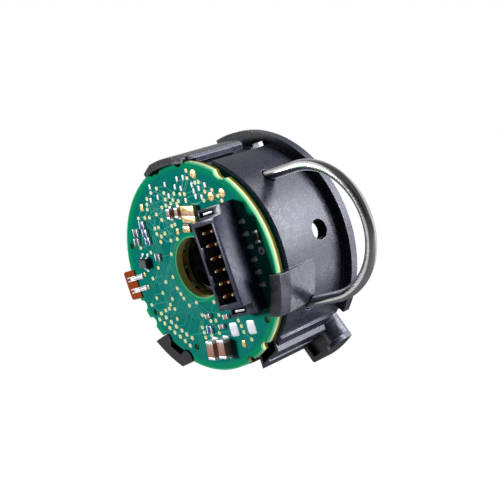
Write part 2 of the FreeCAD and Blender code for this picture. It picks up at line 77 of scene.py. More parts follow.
# Places in the photograph, in pixels of that image
VIA_PIXELS = (
    (186, 170.5), (187, 178), (156.5, 188.5), (151, 193), (164, 193), (174, 193.5), (180, 194),
    (184.5, 194), (147, 199), (165.5, 199.5), (173, 200), (178.5, 201), (147, 204.5), (171, 203.5),
    (177, 204), (147.5, 209.5), (162, 207.5), (166, 205.5), (156.5, 214.5), (162, 220), (138.5, 218.5),
    (145, 218), (149.5, 217.5), (172, 226), (175, 224.5), (155, 228.5), (158.5, 227.5), (177.5, 239),
    (157, 234), (165, 233.5), (161.5, 236.5), (171, 240.5), (161, 242), (141, 248), (151, 252.5),
    (171.5, 254), (158.5, 268), (153, 278.5), (173, 277), (166, 282), (177.5, 288.5), (163, 293),
    (157, 298), (181, 294), (184, 298.5), (172.5, 299), (170.5, 304.5), (169.5, 308.5), (175, 309),
    (166, 310.5), (152, 305), (189.5, 305.5), (196.5, 302.5), (214, 302), (177.5, 319), (212, 190),
    (205, 191.5), (195, 182.5), (198.5, 182), (204, 200.5), (218, 196), (222, 200.5), (202.5, 315),
    (219, 315), (211, 321), (216, 320.5), (202.5, 327.5), (204.5, 332.5), (206, 337.5), (212, 335.5),
    (219.5, 333), (238.5, 320.5), (241.5, 326), (244, 332), (252, 339.5),
)
ROW_VIA_PIXELS = (
    (161.5, 313.5), (166.5, 317.5), (171.5, 322), (176.5, 326.5), (182, 330.5), (187, 334.5),
    (192.5, 338), (160, 319.5), (165, 323.5), (170, 328), (175, 332.5), (180.5, 336.5), (185.5, 341),
    (190.5, 345.5),
)
PAD_PIXELS = (
    (177, 179), (183, 177.5), (150, 187), (165, 184.5), (175, 187), (181, 188.5), (158, 197.5),
    (169, 196), (151, 200.5), (186, 200.5), (192, 185), (199, 188.5), (194, 191), (205, 185),
    (196, 196.5), (202, 197),
)
TAB_PIXEL = (187.5, 229.0)

DAYLIGHT = (0.92, 0.96, 1.0)
COOL = (0.86, 0.89, 1.0)

# Power setting and share of it, direction, distance, width and height in metres, tint, roll in degrees
LAMPS = {
    "key_lamp": ("key_power", 1.0, (-0.593, -0.760, 0.266), 0.45, 0.09, 0.09, DAYLIGHT, 0.0),
    "cup_key_lamp": ("key_power", 0.28, (-0.593, -0.760, 0.266), 0.45, 0.09, 0.09, DAYLIGHT, 0.0),
    "side_lamp": ("side_power", 1.0, (0.87, 0.477, 0.17), 0.42, 0.24, 0.34, COOL, -10.0),
    "low_lamp": ("low_power", 1.0, (0.71, 0.57, -0.42), 0.3, 0.2, 0.12, COOL, 0.0),
    "upper_lamp": ("upper_power", 1.0, (0.44, 0.68, 0.59), 0.42, 0.16, 0.16, COOL, 0.0),
    "front_lamp": ("front_power", 1.0, (-0.208, -0.97, -0.125), 0.45, 0.09, 0.09, (0.9, 0.92, 1.0), 0.0),
    "rear_lamp": ("rear_power", 1.0, (0.25, 0.85, -0.47), 0.3, 0.2, 0.2, COOL, 0.0),
    "strip_lamp": ("strip_power", 1.0, (0.87, 0.477, -0.05), 0.42, 0.24, 0.16, COOL, 0.0),
}


# Settings

def light_value(level):
    """Linear value of a display level from 0 to 255."""
    level /= 255.0
    return level / 12.92 if level <= 0.04045 else ((level + 0.055) / 1.055) ** 2.4


def length_prop(name, description, millimetres):
    """Length that the user may change."""
    return FloatProperty(name=name, description=description, default=millimetres * MM, min=0.0,
                         subtype="DISTANCE", unit="LENGTH", precision=5)


def colour_prop(name, description, *levels):
    """Colour that the user may change, from display levels."""
    return FloatVectorProperty(name=name, description=description, size=3, min=0.0, max=1.0, subtype="COLOR",
                               default=tuple(light_value(level) for level in levels))


def power_prop(name, description, watts):
    """Power of a lamp that the user may change."""
    return FloatProperty(name=name, description=description, default=watts, min=0.0, unit="POWER")


class EncoderSizes(bpy.types.PropertyGroup):
    """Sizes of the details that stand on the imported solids."""
    via_radius: length_prop("Via radius", "Outer radius of a plated hole's ring", 0.33)
    via_bore: length_prop("Via bore", "Radius of a plated hole", 0.08)
    via_height: length_prop("Via height", "Height of a plated hole's ring", 0.04)
    track_width: length_prop("Track width", "Width of a copper track under the mask", 0.15)
    track_height: length_prop("Track height", "Height of a copper track under the mask", 0.012)
    pad_height: length_prop("Pad height", "Height of the solder on a bare pad", 0.09)
    edge_round: length_prop("Edge rounding", "Rounding of the moulded edges", 0.16)
    pin_tip: length_prop("Pin tip", "Length of the taper on a header pin", 0.5)
    track_seed: IntProperty(name="Track seed", description="Starting number of the track layout", default=7,
                            min=0)


class EncoderColours(bpy.types.PropertyGroup):
    """Colours of the finishes."""
    cup: colour_prop("Cup", "Moulded cup, hooks and spacer", 31, 31, 39)
    mask: colour_prop("Mask", "Solder mask over copper", 0, 124, 116)
    mask_edge: colour_prop("Mask edge", "Solder mask where no copper lies under it", 0, 146, 100)
    # The rim colour is partly the thinner mask and partly a painted highlight along the board's edges.
    mint: colour_prop("Mask rim", "Solder mask where it thins at an edge", 118, 214, 158)
    # Painted shade on the rear part of the boards' cut edges.
    core_rear_shade: colour_prop("Board rear edge", "Cut edge of the boards near the rear", 70, 66, 12)
    # Painted glow on the cut edge round the centre hole.
    core_hole_glow: colour_prop("Board hole", "Cut edge round the centre hole", 240, 232, 150)
    core: colour_prop("Board core", "Cut edge of the boards", 214, 206, 150)
    track: colour_prop("Tracks", "Solder mask over a track", 20, 150, 134)
    via: colour_prop("Vias", "Plated holes", 244, 240, 172)
    gold: colour_prop("Gold", "Plated filter and pads", 232, 196, 128)
    pin: colour_prop("Pins", "Gold of the contact pins", 236, 130, 40)
    # The tip colour is a painted highlight on the pins' tips.
    pin_tip: colour_prop("Pin tips", "Worn gold at the tips of the contact pins", 255, 236, 196)
    tin: colour_prop("Tin", "Solder and tinned metal", 240, 242, 246)
    header: colour_prop("Header", "Moulded pin header", 44, 49, 66)
    # The rim line's colour is a painted shadow along the header's rim.
    rim: colour_prop("Rim line", "Line along the header's rim", 26, 27, 74)
    winding: colour_prop("Winding", "Coil ends inside the cup", 255, 118, 48)
    link: colour_prop("Link", "Flexible link", 158, 62, 2)
    ceramic: colour_prop("Ceramic", "Capacitor bodies", 170, 118, 94)
    glaze: colour_prop("Blue glaze", "Resistor bodies", 36, 74, 140)
    chip: colour_prop("Chip", "Moulded chips", 38, 36, 42)
    hub: colour_prop("Hub", "Black anodised hub", 44, 44, 48)
    wire: colour_prop("Wire", "Drawn wire of the clip", 214, 213, 212)
    screw: colour_prop("Screws", "Blackened grub screws", 48, 47, 50)


class EncoderStage(bpy.types.PropertyGroup):
    """Light and floor."""
    key_power: power_prop("Key lamp", "Power of the lamp in front and to the left", 2.1)
    side_power: power_prop("Side lamp", "Power of the broad lamp on the right", 5.9)
    low_power: power_prop("Low lamp", "Power of the weak lamp low on the right", 0.2)
    upper_power: power_prop("Upper lamp", "Power of the small lamp high behind", 0.4)
    front_power: power_prop("Front lamp", "Power of the small lamp in front", 0.4)
    rear_power: power_prop("Rear lamp", "Power of the lamp low behind", 0.4)
    strip_power: power_prop("Strip lamp", "Power of the low lamp for the header", 2.4)
    ambient: FloatProperty(name="Ambient", description="Level of the light from all round", default=0.03,
                           min=0.0, max=1.0, subtype="FACTOR")
    floor_drop: length_prop("Floor", "Distance of the floor below the shaft axis", 190.0)


def size(name):
    """A size in millimetres."""
    return getattr(bpy.context.scene.encoder_sizes, name) / MM


def colour(name, factor=1.0):
    """A finish's colour, made lighter or darker by a factor."""
    return tuple(min(1.0, part * factor) for part in getattr(bpy.context.scene.encoder_colours, name))


# Finishes

class Tree:
    """Node tree under construction, with short calls for the nodes that finishes and surroundings share."""

    def __init__(self, owner):
        owner.use_nodes = True
        self.nodes = owner.node_tree.nodes
        self.links = owner.node_tree.links

    def feed(self, node, socket, value):
        """Give a node's input a constant or another node's output."""
        if isinstance(value, bpy.types.NodeSocket):
            self.links.new(value, node.inputs[socket])
        else:
            node.inputs[socket].default_value = value

    def add(self, kind, inputs=None, **settings):
        """New shader node with its settings and inputs."""
        node = self.nodes.new("ShaderNode" + kind)
        for name, value in settings.items():
            setattr(node, name, value)
        for socket, value in (inputs or {}).items():
            self.feed(node, socket, value)
        return node

    def span(self, value, low, high, to_low=0.0, to_high=1.0):
        """Smooth step of a value from one range to another."""
        inputs = {"Value": value, "From Min": low, "From Max": high, "To Min": to_low, "To Max": to_high}
        return self.add("MapRange", inputs, interpolation_type="SMOOTHSTEP").outputs["Result"]

    def math(self, operation, first, second=0.0):
        """Arithmetic on two values."""
        return self.add("Math", {0: first, 1: second}, operation=operation).outputs[0]

    def times(self, value, factor):
        """A value made larger or smaller by a factor."""
        return self.math("MULTIPLY", value, factor)

    def most(self, first, second):
        """The larger of two values."""
        return self.math("MAXIMUM", first, second)

    def mix(self, factor, first, second):
        """Colour between two colours."""
        ends = [end if isinstance(end, bpy.types.NodeSocket) else (*end, 1.0) for end in (first, second)]
        return self.add("Mix", {0: factor, 6: ends[0], 7: ends[1]}, data_type="RGBA").outputs[2]

    def part(self, vector, axis):
        """One coordinate of a vector."""
        return self.add("SeparateXYZ", {0: vector}).outputs[axis]

    def length(self, vector):
        """Length of a vector."""
        return self.add("VectorMath", {0: vector}, operation="LENGTH").outputs["Value"]

    def along(self, vector, axis):
        """How far a vector runs along an axis."""
        return self.add("VectorMath", {0: vector, 1: axis}, operation="DOT_PRODUCT").outputs["Value"]


class Finish(Tree):
    """Node tree of one material."""

    def __init__(self, name, base, roughness, metallic=0.0):
        self.material = bpy.data.materials.new(name)
        super().__init__(self.material)
        self.shader = self.nodes["Principled BSDF"]
        self.material.diffuse_color = (*base, 1.0)
        self.put("Base Color", (*base, 1.0))
        self.put("Roughness", roughness)
        self.put("Metallic", metallic)
        self.place = self.add("TexCoord").outputs["Object"]
        self.normal = None

    def put(self, socket, value):
        """Set a socket of the shader, or link a node to it."""
        self.feed(self.shader, socket, value)

    def noise(self, per_mm, detail=2.0, stretch=(1.0, 1.0, 1.0)):
        """Cloudy noise with a number of grains to the millimetre, from about 0 to 1."""
        scale = tuple(part * per_mm / MM for part in stretch)
        mapping = self.add("Mapping", {"Vector": self.place, "Scale": scale})
        texture = self.add("TexNoise", {"Vector": mapping.outputs["Vector"], "Scale": 1.0, "Detail": detail})
        return self.span(texture.outputs["Fac"], 0.3, 0.7)

    def cells(self, per_mm):
        """Random value of each cell of a Voronoi pattern."""
        texture = self.add("TexVoronoi", {"Vector": self.place, "Scale": per_mm / MM})
        return self.add("SeparateColor", {"Color": texture.outputs["Color"]}).outputs["Red"]

    def waves(self, value, radians_per_mm):
        """Ripple along a value in millimetres, from -1 to 1."""
        return self.math("SINE", self.times(value, radians_per_mm))

    def part_of_place(self, axis):
        """One coordinate of the surface point, in millimetres."""
        return self.math("DIVIDE", self.part(self.place, axis), MM)

    def from_axis(self):
        """Distance of the surface point from the shaft axis, in millimetres."""
        across = (1.0 / MM, 0.0, 1.0 / MM)
        flat = self.add("VectorMath", {0: self.place, 1: across}, operation="MULTIPLY")
        return self.length(flat.outputs["Vector"])

    def facing(self, axis):
        """How far the true surface faces along an axis, from 0 to 1, either way."""
        return self.math("ABSOLUTE", self.part(self.add("NewGeometry").outputs["True Normal"], axis))

    def softened(self, radius):
        """Normal that turns softly at sharp edges."""
        return self.add("Bevel", {"Radius": radius * MM}, samples=6).outputs["Normal"]

    def round_edges(self, radius):
        """Let the light run softly over sharp edges."""
        self.normal = self.softened(radius)
        self.put("Normal", self.normal)

    def edges(self, radius):
        """How near a sharp edge the surface point lies, from 0 to 1."""
        flat, turned = 0.998, 0.9
        same = self.along(self.softened(radius), self.add("NewGeometry").outputs["Normal"])
        return self.span(same, flat, turned)

    def bump(self, height, depth, strength):
        """Relief from a height value, with its full depth in millimetres."""
        inputs = {"Height": height, "Distance": depth * MM, "Strength": strength}
        if self.normal is not None:
            inputs["Normal"] = self.normal
        self.normal = self.add("Bump", inputs).outputs["Normal"]
        self.put("Normal", self.normal)


def clouded(name, base, tones, cloud, roughness, relief, grain=None, metallic=0.0, gloss=None, rounding=None):
    """Finish whose tone, and roughness where a range is given, follow one cloud of noise.

    The tones are factors on the base colour, and the cloud has grains to the millimetre and a detail.
    The relief has a depth and a strength, and follows the cloud or a grain of its own.
    """
    f = Finish(name, colour(base), roughness[0], metallic)
    tone = f.noise(*cloud)
    f.put("Base Color", f.mix(tone, colour(base, tones[0]), colour(base, tones[1])))
    if len(roughness) == 2:
        f.put("Roughness", f.span(tone, 0.0, 1.0, *roughness))
    if gloss is not None:
        f.put("Specular IOR Level", gloss)
    if rounding is not None:
        f.round_edges(rounding)
    f.bump(tone if grain is None else f.noise(grain), *relief)
    return f


def cup_plastic():
    """Charcoal glass-filled plastic with a fine eroded grain, a slight violet cast and painted highlights
    along sharp edges.
    """
    f = Finish("cup_plastic", colour("cup"), roughness=0.5)
    cloud = f.noise(per_mm=0.7, detail=4.0)
    grain = f.noise(per_mm=3.2, detail=3.0)
    mottle = f.math("ADD", f.times(cloud, 0.4), f.times(grain, 0.6))
    skin_tone = f.mix(mottle, colour("cup", 0.8), colour("cup", 1.4))
    # Painted highlight: the colour turns much paler near sharp edges.
    edge_highlight = f.times(f.edges(radius=0.3), 0.8)
    f.put("Base Color", f.mix(edge_highlight, skin_tone, colour("cup", 8.0)))
    f.put("Roughness", f.span(mottle, 0.25, 0.75, to_low=0.26, to_high=0.41))
    f.put("Specular IOR Level", 0.42)
    f.round_edges(size("edge_round"))
    f.bump(grain, depth=0.008, strength=0.4)
    return f


def board_laminate(name, node, rim_start, rim_end, hole_start, hole_end):
    """Solder mask on the flat faces, bare glass laminate on the cut edges, painted shade towards their rear.

    No copper lies under the mask past the rim's radii and within the hole's.
    """
    f = Finish(name, colour("mask"), roughness=0.35)
    front, back = (corner.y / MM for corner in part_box(node))
    thick = back - front
    radius = f.from_axis()
    depth = f.part_of_place(1)
    weave = f.noise(per_mm=2.2, detail=3.0)
    inner = f.mix(f.times(f.cells(per_mm=0.34), 0.6), colour("mask"), colour("mask", 0.82))
    inner = f.mix(f.times(weave, 0.35), inner, colour("mask_edge", 0.9))
    bare = f.most(f.span(radius, rim_start, rim_end), f.span(radius, hole_start, hole_end, 1.0, 0.0))
    face = f.mix(bare, inner, colour("mask_edge"))
    # Partly the thinner mask and partly a painted highlight: a pale line near the rim and round the hole.
    thin_mask_and_highlight = f.most(f.span(radius, rim_end + 0.4, rim_end + 0.62),
                  f.span(radius, hole_start - 0.4, hole_start - 0.2, 1.0, 0.0))
    face = f.mix(f.times(thin_mask_and_highlight, 0.6), face, colour("mint"))
    layers = f.noise(per_mm=0.6, stretch=(1.0, 9.0, 1.0))
    core = f.mix(layers, colour("core", 0.7), colour("core"))
    core = f.mix(f.span(depth, front + 0.2 * thick, front + 0.45 * thick), colour("mint", 0.6), core)
    # Painted shade: the cut edge darkens towards the rear.
    core = f.mix(f.span(depth, front + 0.5 * thick, front + 0.75 * thick), core, colour("core_rear_shade"))
    # Painted glow: the cut edge round the centre hole is made paler, as if light came through the laminate.
    core = f.mix(f.span(radius, hole_start - 0.3, hole_start + 0.2, 1.0, 0.0), core, colour("core_hole_glow"))
    flat = f.span(f.facing(1), 0.5, 0.8)
    f.put("Base Color", f.mix(flat, core, face))
    f.put("Roughness", f.span(flat, 0.0, 1.0, to_low=0.7, to_high=0.16))
    f.put("Specular IOR Level", 0.05)
    f.round_edges(radius=0.1)
    f.bump(weave, depth=0.004, strength=0.15)
    return f


def main_laminate():
    """Laminate of the round front board."""
    return board_laminate("main_laminate", "main_board", rim_start=BOARD_RADIUS - 1.5,
                          rim_end=BOARD_RADIUS - 0.7, hole_start=5.5, hole_end=6.1)


def inner_laminate():
    """Laminate of the boards inside the cup."""
    return board_laminate("inner_laminate", "stator_board", rim_start=14.2, rim_end=14.7, hole_start=5.9,
                          hole_end=6.3)


def masked_copper():
    """Solder mask that stands up over copper tracks."""
    return clouded("masked_copper", "track", tones=(0.85, 1.15), cloud=(0.5, 2.0), roughness=(0.35,),
                   relief=(0.004, 0.4), grain=8.0, gloss=0.3)


def plated(name, base, roughness, metallic):
    """Plated metal with faint stains."""
    return clouded(name, base, tones=(0.82, 1.0), cloud=(3.0, 3.0), relief=(0.004, 0.3), grain=4.0,
                   roughness=(roughness * 0.8, roughness * 1.25), metallic=metallic)


def via_plating():
    """Pale plating of the small holes."""
    return plated("via_plating", "via", roughness=0.42, metallic=0.1)


def gold_plating():
    """Gold plating of the filter and the test pads."""
    return plated("gold_plating", "gold", roughness=0.3, metallic=0.55)


def pin_gold():
    """Gold of the contact pins, with a painted highlight at the tips and painted shade down towards their
    feet.
    """
    f = plated("pin_gold", "pin", roughness=0.25, metallic=0.3)
    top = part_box("header_pins")[0].y / MM
    # Painted shade: the shafts are a third to a half of the gold; painted highlight: the pale tips.
    tone = f.mix(f.noise(per_mm=3.0, detail=3.0), colour("pin", 0.3), colour("pin", 0.5))
    f.put("Base Color", f.mix(f.span(f.part_of_place(1), top + 0.2, top + 0.5), colour("pin_tip"), tone))
    return f


def tin_solder():
    """Bright tin with small dimples."""
    return plated("tin_solder", "tin", roughness=0.4, metallic=0.25)


def header_plastic():
    """Slate header plastic with a satin skin."""
    return clouded("header_plastic", "header", tones=(0.85, 1.15), cloud=(1.5, 3.0), roughness=(0.26, 0.34),
                   relief=(0.008, 0.3), grain=9.0, gloss=0.26, rounding=0.07)


def rim_shadow():
    """Dark blue line where the header's rim is cut back, a painted shadow of that step."""
    return clouded("rim_shadow", "rim", tones=(0.7, 1.3), cloud=(2.0, 2.0), roughness=(0.5,),
                   relief=(0.01, 0.3), grain=6.0, gloss=0.1)


def slot_black():
    """Near-black floor of the slots beside the hold-down blades, painted shade for the deep slots."""
    return clouded("slot_black", "chip", tones=(0.1, 0.25), cloud=(3.0, 2.0), roughness=(0.7,),
                   relief=(0.01, 0.3), grain=6.0, gloss=0.05)


def copper_winding():
    """Enamelled copper of the coil inside the cup."""
    f = Finish("copper_winding", colour("winding"), roughness=0.35)
    turns = f.span(f.waves(f.from_axis(), radians_per_mm=60.0), -1.0, 1.0)
    f.put("Base Color", f.mix(turns, colour("winding", 0.7), colour("winding", 1.2)))
    f.bump(turns, depth=0.01, strength=0.5)
    return f


def link_film():
    """Amber film with copper that shines through in bands."""
    f = Finish("link_film", colour("link"), roughness=0.16)
    bands = f.span(f.waves(f.part_of_place(2), radians_per_mm=6.1), -0.2, 0.6)
    film = f.mix(f.times(bands, 0.35), colour("link"), colour("link", 1.35))
    shade = f.times(f.noise(per_mm=1.1, detail=3.0), 0.5)
    f.put("Base Color", f.mix(shade, film, colour("link", 0.6)))
    f.put("Specular IOR Level", 0.2)
    f.bump(f.noise(per_mm=2.5), depth=0.02, strength=0.35)
    return f


def capacitor_ceramic():
    """Tan fired ceramic with a speckle."""
    return clouded("capacitor_ceramic", "ceramic", tones=(0.72, 1.08), cloud=(6.0, 3.0), roughness=(0.45,),
                   relief=(0.012, 0.5))


def blue_glaze():
    """Glazed top of a chip resistor."""
    return clouded("blue_glaze", "glaze", tones=(0.6, 1.3), cloud=(2.5, 2.0), roughness=(0.25,),
                   relief=(0.01, 0.4), grain=4.0)


def chip_moulding():
    """Black moulding compound with a dusty grain."""
    f = clouded("chip_moulding", "chip", tones=(0.7, 1.5), cloud=(8.0, 2.0), roughness=(0.55,),
                relief=(0.012, 0.5))
    f.put("Roughness", f.span(f.noise(per_mm=1.2), 0.0, 1.0, to_low=0.45, to_high=0.65))
    return f


def turned_metal():
    """Turned and blackened metal with fine rings round the shaft axis."""
    f = Finish("turned_metal", colour("hub"), roughness=0.3, metallic=0.6)
    reach = f.math("ADD", f.from_axis(), f.part_of_place(1))
    smear = f.noise(per_mm=0.8, detail=3.0)
    f.put("Base Color", f.mix(smear, colour("hub", 0.75), colour("hub", 1.05)))
    f.put("Roughness", f.span(smear, 0.0, 1.0, to_low=0.24, to_high=0.4))
    rings = f.span(f.waves(reach, radians_per_mm=55.0), -1.0, 1.0)
    f.round_edges(radius=0.08)
    f.bump(rings, depth=0.004, strength=0.5)
    return f


def drawn_wire():
    """Polished wire with faint lines along it."""
    return clouded("drawn_wire", "wire", tones=(0.82, 1.06), cloud=(5.0, 3.0, (0.08, 1.0, 1.0)),
                   roughness=(0.16, 0.22), relief=(0.001, 0.2), metallic=1.0)


def black_oxide():
    """Blackened steel of the grub screws."""
    return clouded("black_oxide", "screw", tones=(0.6, 1.8), cloud=(3.0, 3.0), roughness=(0.32, 0.5),
                   relief=(0.008, 0.4), metallic=0.9, rounding=0.05)


FINISHES = {}


def finish(maker):
    """The material of a finish, made once."""
    if maker not in FINISHES:
        FINISHES[maker] = maker().material
    return FINISHES[maker]


# Mesh code

class Spot:
    """Place on a board's front: its own u and v axes lie on the board, and height stands off it."""

    def __init__(self, x, z, turn=0.0, base=BOARD_FRONT):
        self.x = x
        self.z = z
        self.turn = turn
        self.base = base

    def at(self, u, v, height):
        """Point of the frame, in metres."""
        c = math.cos(math.radians(self.turn))
        s = math.sin(math.radians(self.turn))
        return Vector((self.x + u * c - v * s, self.base - height, self.z + u * s + v * c)) * MM

    def shifted(self, u, v):
        """Another spot with the same turn."""
        point = self.at(u, v, 0.0) / MM
        return Spot(point.x, point.z, self.turn, self.base)


def seen_at(pixel):
    """Where the photograph's camera sees a pixel on the board's front."""
    ray = AHEAD * FOCAL + RIGHT * (pixel[0] - IMAGE / 2) - UP * (pixel[1] - IMAGE / 2)
    point = EYE + ray * ((BOARD_FRONT - EYE.y) / ray.y)
    return point.x, point.z


def rounded_rectangle(width, length, corner, steps=4):
    """Outline of a rectangle with rounded corners."""
    corner = min(corner, width / 2 - 1e-4, length / 2 - 1e-4)
    points = []
    for quarter, (u, v) in enumerate(((1, 1), (-1, 1), (-1, -1), (1, -1))):
        for step in range(steps + 1):
            angle = math.radians(90 * (quarter + step / steps))
            points.append((u * (width / 2 - corner) + corner * math.cos(angle),
                           v * (length / 2 - corner) + corner * math.sin(angle)))
    return points


def ring(radius, steps=20):
    """Outline of a circle."""
    turns = [math.tau * i / steps for i in range(steps)]
    return [(radius * math.cos(turn), radius * math.sin(turn)) for turn in turns]


def skin(bm, rows, slot=0, closed=False):
    """Quads between loops of points, with both ends filled unless the loops close on themselves."""
    loops = [[bm.verts.new(point) for point in row] for row in rows]
    faces = []
    pairs = list(zip(loops, loops[1:]))
    if closed:
        pairs.append((loops[-1], loops[0]))
    for lower, upper in pairs:
        for i in range(len(lower)):
            j = (i + 1) % len(lower)
            faces.append(bm.faces.new((lower[i], lower[j], upper[j], upper[i])))
    if not closed:
        faces.append(bm.faces.new(loops[0][::-1]))
        faces.append(bm.faces.new(loops[-1]))
    for face in faces:
        face.material_index = slot


def stack(bm, spot, layers, slot=0, closed=False):
    """Solid from outlines at rising heights over a spot."""
    skin(bm, [[spot.at(u, v, height) for u, v in outline] for outline, height in layers], slot, closed)


def block(bm, spot, width, length, low, high, corner=0.06, edge=0.06, slot=0):
    """Block with rounded upright corners and softened top edges."""
    outline = rounded_rectangle(width, length, corner)
    shoulder = rounded_rectangle(width - 0.6 * edge, length - 0.6 * edge, corner)
    top = rounded_rectangle(width - 2 * edge, length - 2 * edge, max(corner - edge / 2, 0.02))
    layers = [(outline, low), (outline, high - edge), (shoulder, high - 0.3 * edge), (top, high)]
    stack(bm, spot, layers, slot)


def solder_pad(bm, spot, width, length, height, slot=0):
    """Pad with a domed cushion of solder."""
    corner = min(width, length) * 0.22
    foot = rounded_rectangle(width, length, corner)
    layers = [(foot, SUNK), (foot, 0.015)]
    for share, rise in ((0.94, 0.55), (0.8, 0.85), (0.5, 1.0)):
        layers.append((rounded_rectangle(width * share, length * share, corner * share), height * rise))
    stack(bm, spot, layers, slot)


def plated_ring(bm, spot, outer, bore, height, slot=0, dark=1):
    """Plated hole: a rounded ring with a dark plug sunk in its bore."""
    outlines = ((outer, SUNK), (outer, height * 0.4), (outer * 0.93, height), (bore * 1.15, height),
                (bore, height * 0.7), (bore, SUNK))
    stack(bm, spot, [(ring(radius, 16), rise) for radius, rise in outlines], slot, closed=True)
    stack(bm, spot, [(ring(bore, 16), SUNK), (ring(bore, 16), height * 0.2)], dark)


def strip(bm, points, width, height):
    """Copper track on the board along a line of (x, z) points, with a mitre at each bend."""
    foot = -0.015
    rows = []
    for i, (x, z) in enumerate(points):
        before = Vector(points[max(i - 1, 0)])
        after = Vector(points[min(i + 1, len(points) - 1)])
        here = Vector((x, z))
        first = (here - before).normalized() if i > 0 else (after - here).normalized()
        second = (after - here).normalized() if i < len(points) - 1 else first
        along = (first + second).normalized()
        side = Vector((-along.y, along.x)) / max(along.dot(first), 0.5)
        row = []
        for share, rise in ((-0.5, foot), (-0.36, height), (0.36, height), (0.5, foot)):
            edge = here + side * (share * width)
            row.append(Vector((edge.x, BOARD_FRONT - rise, edge.y)) * MM)
        rows.append(row)
    skin(bm, rows)


def mesh_of(name, bm):
    """Mesh from one under construction."""
    mesh = bpy.data.meshes.new(name)
    bm.to_mesh(mesh)
    bm.free()
    return mesh


def in_scene(name, data):
    """New object of the scene."""
    obj = bpy.data.objects.new(name, data)
    bpy.context.scene.collection.objects.link(obj)
    return obj


def piece(name, bm, makers, slot, *replaced):
    """Object from a mesh under construction, with its finishes, riding on the stator."""
    bmesh.ops.recalc_face_normals(bm, faces=bm.faces)
    placed(name, mesh_of(name, bm), makers, "stator", slot, *replaced)


def placed(name, mesh, makers, body, slot, *replaced):
    """Object from a mesh, riding on a body, smooth but for its sharp edges."""
    mesh.polygons.foreach_set("use_smooth", [True] * len(mesh.polygons))
    mesh.set_sharp_from_angle(angle=math.radians(38.0))
    for maker in makers:
        mesh.materials.append(finish(maker))
    obj = in_scene(name, mesh)
    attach(obj, body)
    if replaced:
        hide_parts(*replaced)


def dress(maker, *nodes):
    """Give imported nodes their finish."""
    for node in nodes:
        mesh = NODES[node].data
        mesh.materials.clear()
        mesh.materials.append(finish(maker))


def welded(node):
    """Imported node's mesh, under construction, with its seams closed."""
    bm = bmesh.new()
    bm.from_mesh(NODES[node].data)
    bmesh.ops.remove_doubles(bm, verts=bm.verts, dist=1e-7)
    return bm


def solids_of(node, tilt=0.0):
    """Centre (x, z), own width, length and height of each solid of a node on the board, in millimetres."""
    bm = welded(node)
    left = set(bm.verts)
    turn = Matrix.Rotation(math.radians(tilt), 2)
    found = []
    while left:
        todo = [left.pop()]
        group = []
        while todo:
            vert = todo.pop()
            group.append(vert.co / MM)
            for edge in vert.link_edges:
                other = edge.other_vert(vert)
                if other in left:
                    left.remove(other)
                    todo.append(other)
        flat = [turn.transposed() @ Vector((co.x, co.z)) for co in group]
        low = Vector((min(p.x for p in flat), min(p.y for p in flat)))
        high = Vector((max(p.x for p in flat), max(p.y for p in flat)))
        centre = turn @ ((low + high) / 2)
        top = min(co.y for co in group)
        found.append((centre.x, centre.y, high.x - low.x, high.y - low.y, BOARD_FRONT - top))
    bm.free()
    return sorted(found)


def eased_copy(node, edge):
    """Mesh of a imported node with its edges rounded."""
    bm = welded(node)
    flat, bent = math.radians(0.3), math.radians(40.0)
    bmesh.ops.dissolve_limit(bm, angle_limit=flat, verts=bm.verts, edges=bm.edges, delimit={"NORMAL"})
    sharp = [e for e in bm.edges if len(e.link_faces) == 2 and e.calc_face_angle() > bent]
    bmesh.ops.bevel(bm, geom=sharp, offset=edge * MM, offset_type="OFFSET", segments=2, profile=0.5,
                    affect="EDGES", clamp_overlap=True)
    return mesh_of(node + "_eased", bm)


def capped_chip(bm, solid, turn, cap, along_z, body=0):
    """Chip part with a tin cap over each end."""
    x, z, width, length, height = solid
    proud = 0.025
    inside = 0.3
    less_width, less_length = (2 * proud, inside) if along_z else (inside, 2 * proud)
    spot = Spot(x, z, turn)
    block(bm, spot, width - less_width, length - less_length, low=0.0, high=height - proud, corner=0.05,
          edge=0.05, slot=body)
    for side in (-1, 1):
        if along_z:
            end = spot.shifted(0, side * (length - cap) / 2)
            block(bm, end, width, cap, low=0.0, high=height, corner=0.07, edge=0.07, slot=1)
        else:
            end = spot.shifted(side * (width - cap) / 2, 0)
            block(bm, end, cap, length, low=0.0, high=height, corner=0.07, edge=0.07, slot=1)


# Pieces

class EncoderPiece:
    """What the operators share."""
    bl_options = {"REGISTER", "UNDO"}


class ENCODER_OT_cup(EncoderPiece, bpy.types.Operator):
    """Moulded cup and its spacer ring"""
    bl_idname = "encoder.cup"
    bl_label = "Cup"

    def execute(self, context):
        dress(cup_plastic, "housing", "board_spacer")
        return {"FINISHED"}


class ENCODER_OT_boards(EncoderPiece, bpy.types.Operator):
    """Laminate of the round board and of the boards inside the cup"""
    bl_idname = "encoder.boards"
    bl_label = "Boards"

    def execute(self, context):
        dress(main_laminate, "main_board")
        dress(inner_laminate, "stator_board", "rotor_board")
        return {"FINISHED"}


